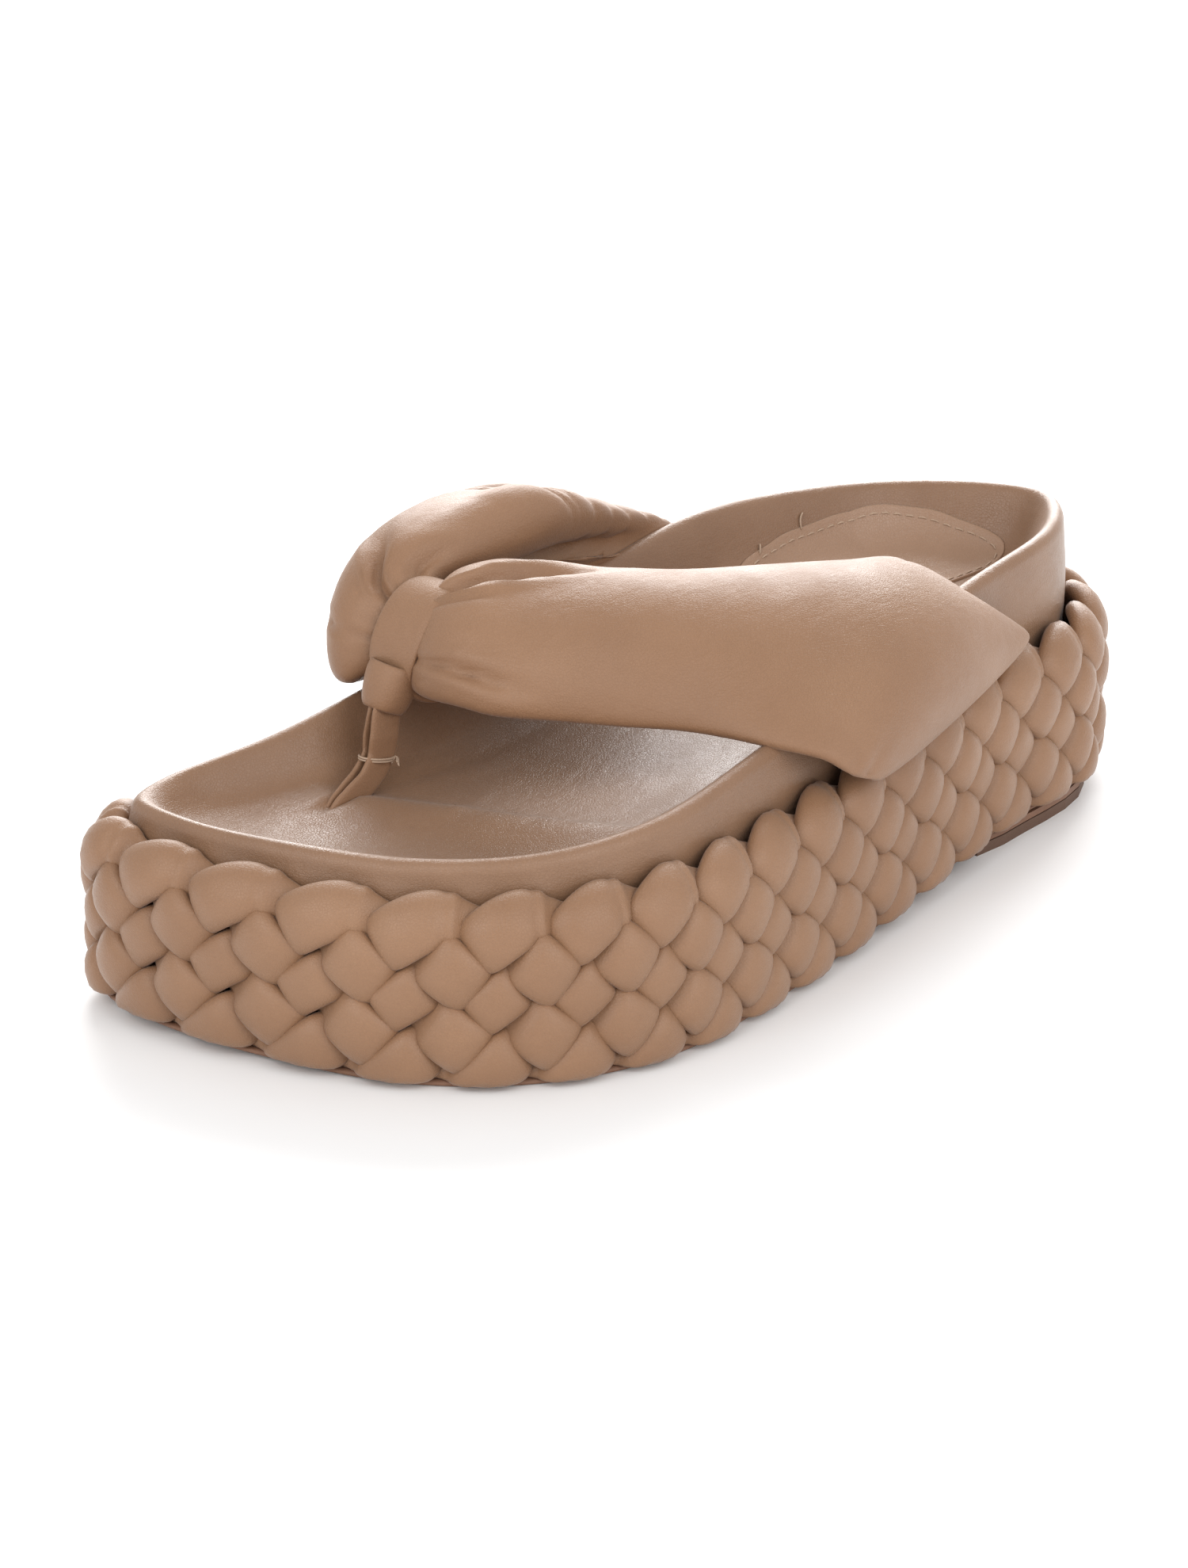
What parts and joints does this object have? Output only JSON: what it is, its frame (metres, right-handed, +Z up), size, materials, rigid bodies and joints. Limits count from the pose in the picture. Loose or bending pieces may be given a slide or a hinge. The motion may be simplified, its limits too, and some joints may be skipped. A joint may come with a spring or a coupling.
{
  "type": "platform flip flop",
  "caption": "Left platform thong sandal: braided leather side wall, dished footbed, and padded straps gathered in a knot above a toe post.",
  "frame": {"origin": "on the ground under the middle of the whole object's bounding box", "axes": "+Z up; -Y towards the toe, +Y towards the heel; -X is the medial (big toe) side of this left shoe"},
  "size_m": [0.1233, 0.2771, 0.0924],
  "materials": {
    "tan_leather": "matte nappa leather",
    "brown_leather": "smooth sole leather",
    "grey_rubber": "matte moulded rubber",
    "cork_core": "ground cork",
    "fibre_board": "pressed fibre board",
    "cream_foam": "soft open foam",
    "nylon": "plain moulded nylon"
  },
  "bodies": {
    "root": {"braid_strand_1": "tan_leather", "braid_strand_2": "tan_leather", "braid_strand_3": "tan_leather", "braid_strand_4": "tan_leather", "braid_strand_5": "tan_leather", "braid_strand_6": "tan_leather", "footbed_cover": "tan_leather", "footbed_foam": "cream_foam", "heel_lift": "brown_leather", "heel_pad": "tan_leather", "heel_top_piece": "grey_rubber", "insole_board": "fibre_board", "knot_band": "tan_leather", "knot_collar": "tan_leather", "lateral_strap_cover": "tan_leather", "lateral_strap_padding": "cream_foam", "medial_strap_cover": "tan_leather", "medial_strap_padding": "cream_foam", "outsole": "brown_leather", "platform_core": "cork_core", "toe_post_anchor": "nylon", "toe_post_back": "tan_leather", "toe_post_front": "tan_leather"}
  },
  "joints": []
}
